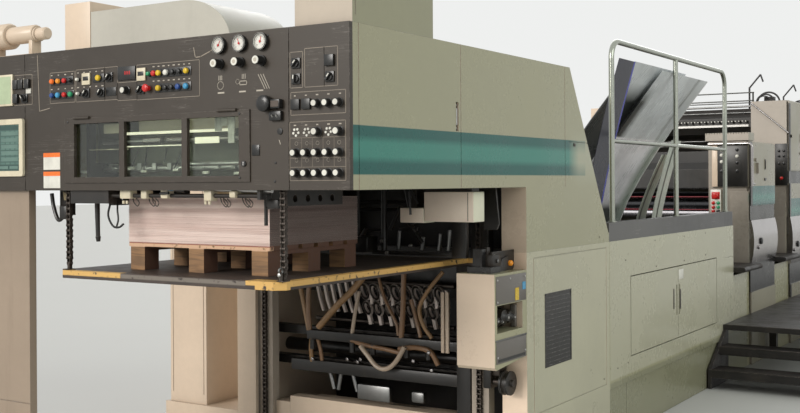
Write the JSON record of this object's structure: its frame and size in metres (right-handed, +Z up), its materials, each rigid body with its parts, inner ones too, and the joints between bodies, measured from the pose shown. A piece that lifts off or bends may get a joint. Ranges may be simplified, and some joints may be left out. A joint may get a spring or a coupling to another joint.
{
  "type": "offset printing press",
  "caption": "Sheet-fed offset printing press with a delivery housing and pile hoist, low coating section, printing units, feeder and operator walkway.",
  "frame": {"origin": "middle of the footprint, on the floor", "axes": "+Y along the machine from the delivery to the feeder, +X to the operator side, +Z up"},
  "size_m": [3.27, 14.526, 2.725],
  "materials": {
    "aluminium_sheet": "rolled",
    "bezel_cream": "moulded",
    "black_paint": "oily satin paint",
    "black_plastic": "moulded",
    "board_wood": "dark, oil-soaked",
    "cast_grey": "machined casting",
    "clear_glass": "safety pane",
    "cream_paint": "satin paint",
    "cylinder_steel": "ground and plated",
    "deck_brown": "worn chequer plate",
    "gauge_white": "enamel dial",
    "green_grey_paint": "satin paint",
    "hose_black": "rubber",
    "hose_yellow": "aged clear hose",
    "pale_grey_paint": "satin paint",
    "pallet_wood": "rough sawn",
    "panel_dark": "satin paint, scratched",
    "paper": "stacked sheets",
    "rail_chrome": "plated tube",
    "screen_glass": "display",
    "sill_grey": "worn paint",
    "steel_bright": "brushed",
    "steel_dark": "oiled"
  },
  "bodies": {
    "press": {"control_panel": "panel_dark", "window_frame": "panel_dark", "window_panes": "clear_glass", "monitor": "bezel_cream", "monitor_screen": "screen_glass", "pressure_gauges": "gauge_white", "regulator_knobs": "black_plastic", "panel_handwheel": "black_plastic", "console_leg": "cream_paint", "console_box": "pale_grey_paint", "operator_cover": "green_grey_paint", "operator_leg": "green_grey_paint", "drive_cover": "green_grey_paint", "drive_leg": "cream_paint", "top_cover": "pale_grey_paint", "slope_cover": "green_grey_paint", "top_box": "cream_paint", "exhaust_hood": "pale_grey_paint", "blower": "cream_paint", "front_stop": "black_paint", "joggers": "black_paint", "gripper_tracks": "steel_dark", "gripper_bars": "steel_bright", "cross_box": "cream_paint", "side_box": "cream_paint", "side_box_drive": "black_plastic", "rear_columns": "cast_grey", "rear_chains": "steel_dark", "rear_cabinet": "cream_paint", "bay_back": "black_paint", "bay_base": "cream_paint", "suction_combs": "cast_grey", "air_hoses": "hose_yellow", "low_core": "green_grey_paint", "low_cover": "green_grey_paint", "toe_panel": "green_grey_paint", "sill": "sill_grey", "guard_rail": "rail_chrome", "spare_sheets": "aluminium_sheet", "plinths": "green_grey_paint", "low_unit_tower": "green_grey_paint", "low_unit_cylinders": "cylinder_steel", "unit_towers": "green_grey_paint", "unit_gear_housings": "green_grey_paint", "unit_cylinders": "cylinder_steel", "ink_units": "black_paint", "ink_keys": "steel_bright", "unit_guards": "rail_chrome", "ink_hoses": "hose_black", "footboards": "deck_brown", "feed_board": "steel_bright", "feeder": "green_grey_paint", "feeder_pile": "paper", "walkway": "deck_brown"},
    "pile": {"pile_board": "board_wood", "pallet": "pallet_wood", "paper_stack": "paper", "front_chains": "steel_dark"},
    "left_door": {"door_left": "green_grey_paint"},
    "right_door": {"door_right": "green_grey_paint"}
  },
  "joints": [
    {"name": "pile_lift", "type": "slide", "parent": "press", "child": "pile", "axis": [0, 0, 1], "range_m": [-0.6, 0]},
    {"name": "door_left_hinge", "type": "hinge", "parent": "press", "child": "left_door", "pos_m": [0.877, -4.2, 0.709], "axis": [0, 0, -1], "range_deg": [0, 110]},
    {"name": "door_right_hinge", "type": "hinge", "parent": "press", "child": "right_door", "pos_m": [0.877, -2.4, 0.709], "axis": [0, 0, 1], "range_deg": [0, 110]}
  ]
}
